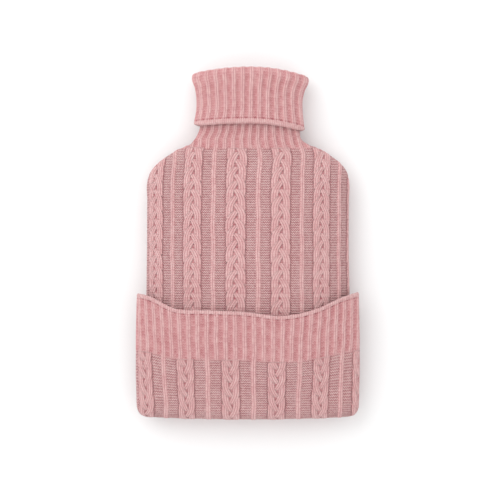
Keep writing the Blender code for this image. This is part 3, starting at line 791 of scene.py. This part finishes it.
def makePinkKnit():
    material = bpy.data.materials.new("pinkKnit")
    material.use_nodes = True
    nodes, links = material.node_tree.nodes, material.node_tree.links
    shader = nodes["Principled BSDF"]
    shader.inputs["Roughness"].default_value = yarn["roughness"]
    shader.inputs["Sheen Weight"].default_value = yarn["sheen"]
    shader.inputs["Sheen Roughness"].default_value = yarn["sheenRoughness"]
    shader.inputs["Specular IOR Level"].default_value = yarn["specular"]

    def mathNode(kind, a, b=None):
        node = nodes.new("ShaderNodeMath")
        node.operation = kind
        for socket, value in zip(node.inputs, (a, b)):
            if value is None:
                continue
            if isinstance(value, (int, float)):
                socket.default_value = value
            else:
                links.new(value, socket)
        return node.outputs[0]

    place = nodes.new("ShaderNodeAttribute")
    place.attribute_name = "stitchPlace"
    split = nodes.new("ShaderNodeSeparateXYZ")
    links.new(place.outputs["Vector"], split.inputs[0])
    u, v, knitted = split.outputs
    paintedShade = nodes.new("ShaderNodeAttribute")
    paintedShade.attribute_name = "paintedShade"
    ladder = nodes.new("ShaderNodeAttribute")
    ladder.attribute_name = "ladder"

    # a hump of two leaning legs for each knit stitch
    within = mathNode("FRACT", u)
    leg = mathNode("ABSOLUTE", mathNode("SUBTRACT", mathNode("MULTIPLY", within, 2), 1))
    leaning = mathNode("ADD", v, mathNode("MULTIPLY", leg, loop["lean"]))
    lean = mathNode("MULTIPLY", leaning, 2 * math.pi)
    rows = mathNode("ADD", mathNode("MULTIPLY", mathNode("COSINE", lean), 0.5), 0.5)
    hump = mathNode("MULTIPLY", mathNode("SINE", mathNode("MULTIPLY", within, math.pi)), loop["hump"])
    legs = mathNode("ABSOLUTE", mathNode("SINE", mathNode("MULTIPLY", u, 2 * math.pi)))
    legs = mathNode("ADD", hump, mathNode("MULTIPLY", legs, loop["split"]))
    rows = mathNode("ADD", mathNode("MULTIPLY", rows, loop["rowDip"]), 1 - loop["rowDip"])
    loops = mathNode("MULTIPLY", legs, rows)
    # a wavy ridge for each row of purl stitches
    wave = mathNode("COSINE", mathNode("MULTIPLY", u, 2 * math.pi))
    wave = mathNode("MULTIPLY", wave, loop["purlWave"])
    ridge = mathNode("COSINE", mathNode("MULTIPLY", mathNode("ADD", v, wave), 2 * math.pi))
    ridge = mathNode("ADD", mathNode("MULTIPLY", ridge, yarn["purlRidge"]), yarn["purlLevel"])
    purls = mathNode("ADD", mathNode("MULTIPLY", ridge, ladder.outputs["Fac"]), yarn["valleyLevel"])
    mixed = nodes.new("ShaderNodeMix")
    links.new(knitted, mixed.inputs["Factor"])
    links.new(purls, mixed.inputs["A"])
    links.new(loops, mixed.inputs["B"])
    loft = mixed.outputs["Result"]

    # fibres, and the yarn's slight unevenness
    where = nodes.new("ShaderNodeTexCoord")
    fibres = nodes.new("ShaderNodeTexNoise")
    fibres.inputs["Scale"].default_value = yarn["fibreScale"]
    fibres.inputs["Detail"].default_value = yarn["fibreDetail"]
    links.new(where.outputs["Object"], fibres.inputs["Vector"])
    uneven = nodes.new("ShaderNodeTexNoise")
    uneven.inputs["Scale"].default_value = yarn["unevenScale"]
    uneven.inputs["Detail"].default_value = yarn["unevenDetail"]
    links.new(where.outputs["Object"], uneven.inputs["Vector"])

    high = mathNode("ADD", loft, mathNode("MULTIPLY", fibres.outputs["Fac"], yarn["fibreRaise"]))
    bump = nodes.new("ShaderNodeBump")
    bump.inputs["Strength"].default_value = yarn["bump"]
    bump.inputs["Distance"].default_value = yarn["bumpDepth"]
    links.new(high, bump.inputs["Height"])
    links.new(bump.outputs["Normal"], shader.inputs["Normal"])

    # each stitch is a little lighter or darker than the next
    cell = nodes.new("ShaderNodeCombineXYZ")
    links.new(mathNode("FLOOR", u), cell.inputs[0])
    links.new(mathNode("FLOOR", leaning), cell.inputs[1])
    stitch = nodes.new("ShaderNodeTexWhiteNoise")
    links.new(cell.outputs[0], stitch.inputs["Vector"])
    # painted shade: the painted-shade attribute and the stitches' loft make gaps, valleys and low stitches
    # darker and crests lighter
    shade = mathNode("MULTIPLY", paintedShade.outputs["Fac"], yarn["paintedShadeShare"])
    shade = mathNode("ADD", shade, mathNode("MULTIPLY", loft, yarn["loftShare"]))
    single = mathNode("MULTIPLY", stitch.outputs["Value"], yarn["stitchUneven"])
    shade = mathNode("SUBTRACT", mathNode("ADD", shade, single), yarn["stitchUneven"])
    uneven = mathNode("SUBTRACT", uneven.outputs["Fac"], 0.5)
    shade = mathNode("ADD", shade, mathNode("MULTIPLY", uneven, yarn["uneven"]))
    ramp = nodes.new("ShaderNodeValToRGB")
    for extra in yarn["shades"][2:]:
        ramp.color_ramp.elements.new(extra[0])
    for element, (place, colour) in zip(ramp.color_ramp.elements, yarn["shades"]):
        element.position, element.color = place, colour
    links.new(shade, ramp.inputs["Fac"])
    links.new(ramp.outputs["Color"], shader.inputs["Base Color"])
    return material


pinkKnit = makePinkKnit()

collarHem = {"at": "collarHem", "band": collar["hemBand"], "raise": collar["hemRaise"]}
cuffHem = {"at": "cuffHem", "band": cuff["hemBand"], "raise": cuff["hemRaise"]}

# name, panel, from, to, side that shows, points across a stitch, points to a row's height, hem
pieceTable = (
    ("collar_front", "front", "collarHem", "underCollar", "wrong", 4, 4, collarHem),
    ("neck_front", "front", "underCollar", "shoulderEnd", "right", 4, 4, None),
    ("body_front", "front", "shoulderEnd", "cuffCovers", "right", 4, 3.6, None),
    ("cuff_inside", "front", "cuffCovers", "innerHem", "right", 2, 1, None),
    ("collar_back", "back", "collarHem", "underCollar", "wrong", 3, 2, collarHem),
    ("neck_back", "back", "underCollar", "shoulderEnd", "right", 3, 2, None),
    ("body_back", "back", "shoulderEnd", "footStart", "right", 2, 2, None),
    ("foot", "back", "footStart", "cuffStart", "right", 4, 4, None),
    ("cuff", "back", "cuffStart", "cuffHem", "right", 4, 4, cuffHem),
)

for name, panel, start, end, shown, perStitch, perRow, hem in pieceTable:
    piece, flat, area = knitPiece(name, panel, start, end, shown, perStitch, perRow, hem)
    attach(piece, "root")
    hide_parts(panel + "_panel")
print("knitted pieces made")


studio = {
    "floor": (0.88, 0.88, 0.88, 1),
    "floorSize": 6,
    "floorDrop": 0.0004,     # below the cover, so that the two never coincide
    "floorRoughness": 0.8,
    "worldStrength": 1.13,
    "keySize": 1.1,
    "keyPower": 5.0,
    "keyPlace": (-0.55, 0.65, 0.85),
    "cameraHeight": 2.4,
    "cameraMiddle": (0.00196, -0.00686),
    "frameWidth": 0.4875,    # that the picture takes in at the height of the seams
    "seamHeight": 0.019,
}


def makeFloor():
    bpy.ops.mesh.primitive_plane_add(size=studio["floorSize"])
    floor = bpy.context.object
    floor.name = "floor"
    floor.location.z = -studio["floorDrop"]
    material = bpy.data.materials.new("paleFloor")
    material.use_nodes = True
    shader = material.node_tree.nodes["Principled BSDF"]
    shader.inputs["Base Color"].default_value = studio["floor"]
    shader.inputs["Roughness"].default_value = studio["floorRoughness"]
    floor.data.materials.append(material)


def makeLights():
    world = bpy.data.worlds.new("studio")
    bpy.context.scene.world = world
    world.use_nodes = True
    world.node_tree.nodes["Background"].inputs["Color"].default_value = (1, 1, 1, 1)
    world.node_tree.nodes["Background"].inputs["Strength"].default_value = studio["worldStrength"]
    key = bpy.data.lights.new("key", "AREA")
    key.size = studio["keySize"]
    key.energy = studio["keyPower"]
    keyLight = bpy.data.objects.new("key", key)
    keyLight.location = studio["keyPlace"]
    keyLight.visible_camera = False      # it hangs between the camera and the cover
    aim = Vector((0, 0, 0)) - keyLight.location
    keyLight.rotation_euler = aim.to_track_quat("-Z", "Y").to_euler()
    bpy.context.scene.collection.objects.link(keyLight)


def makeCamera():
    camera = bpy.data.cameras.new("camera")
    camera.sensor_width = 36
    distance = studio["cameraHeight"] - studio["seamHeight"]
    camera.lens = camera.sensor_width * distance / studio["frameWidth"]
    camera.clip_end = 20
    camera.dof.use_dof = False
    holder = bpy.data.objects.new("camera", camera)
    holder.location = (*studio["cameraMiddle"], studio["cameraHeight"])
    bpy.context.scene.collection.objects.link(holder)
    bpy.context.scene.camera = holder


makeFloor()
makeLights()
makeCamera()
bpy.context.scene.view_settings.view_transform = "Standard"
print("floor, light and camera made")
